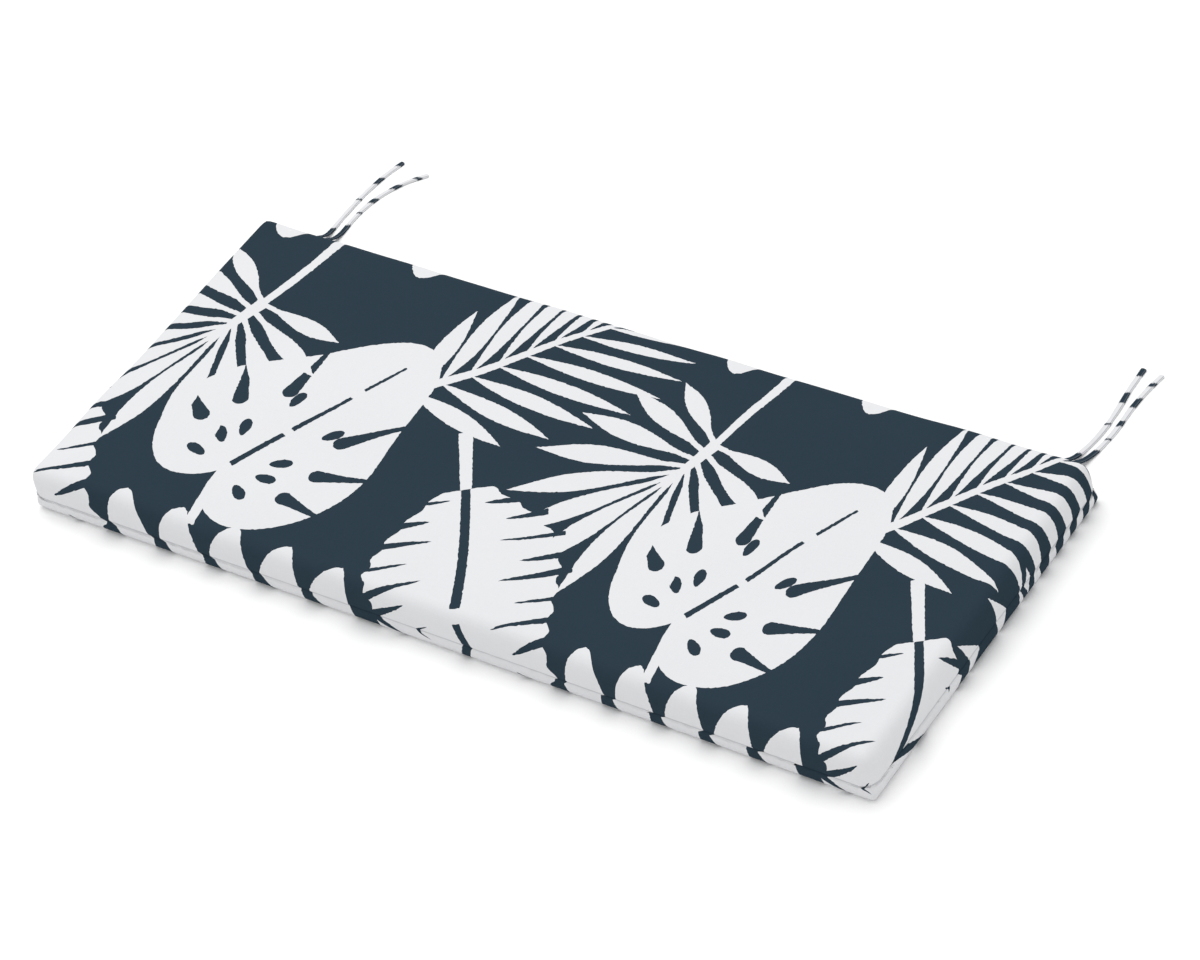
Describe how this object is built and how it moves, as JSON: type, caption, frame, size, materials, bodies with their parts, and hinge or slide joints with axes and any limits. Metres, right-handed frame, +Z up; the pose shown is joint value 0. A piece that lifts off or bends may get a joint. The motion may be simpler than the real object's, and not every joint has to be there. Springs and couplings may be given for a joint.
{
  "type": "bench cushion",
  "caption": "Long flat bench cushion: a filled cloth pad with rolled edges, a seam round its side and flat tie strips at the back edge.",
  "frame": {"origin": "under the middle of the cushion, on the surface that it lies on", "axes": "+X along the length, +Y towards the back edge with the ties, +Z up through the thickness"},
  "size_m": [1.1994, 0.7062, 0.065],
  "materials": {
    "cover": "matte printed plain weave, white leaves on navy",
    "tie": "matte folded strip of the same cloth"
  },
  "bodies": {
    "root": {"cushion": "cover", "tie_left_inner": "tie", "tie_left_outer": "tie", "tie_right_inner": "tie", "tie_right_outer": "tie"}
  },
  "joints": []
}
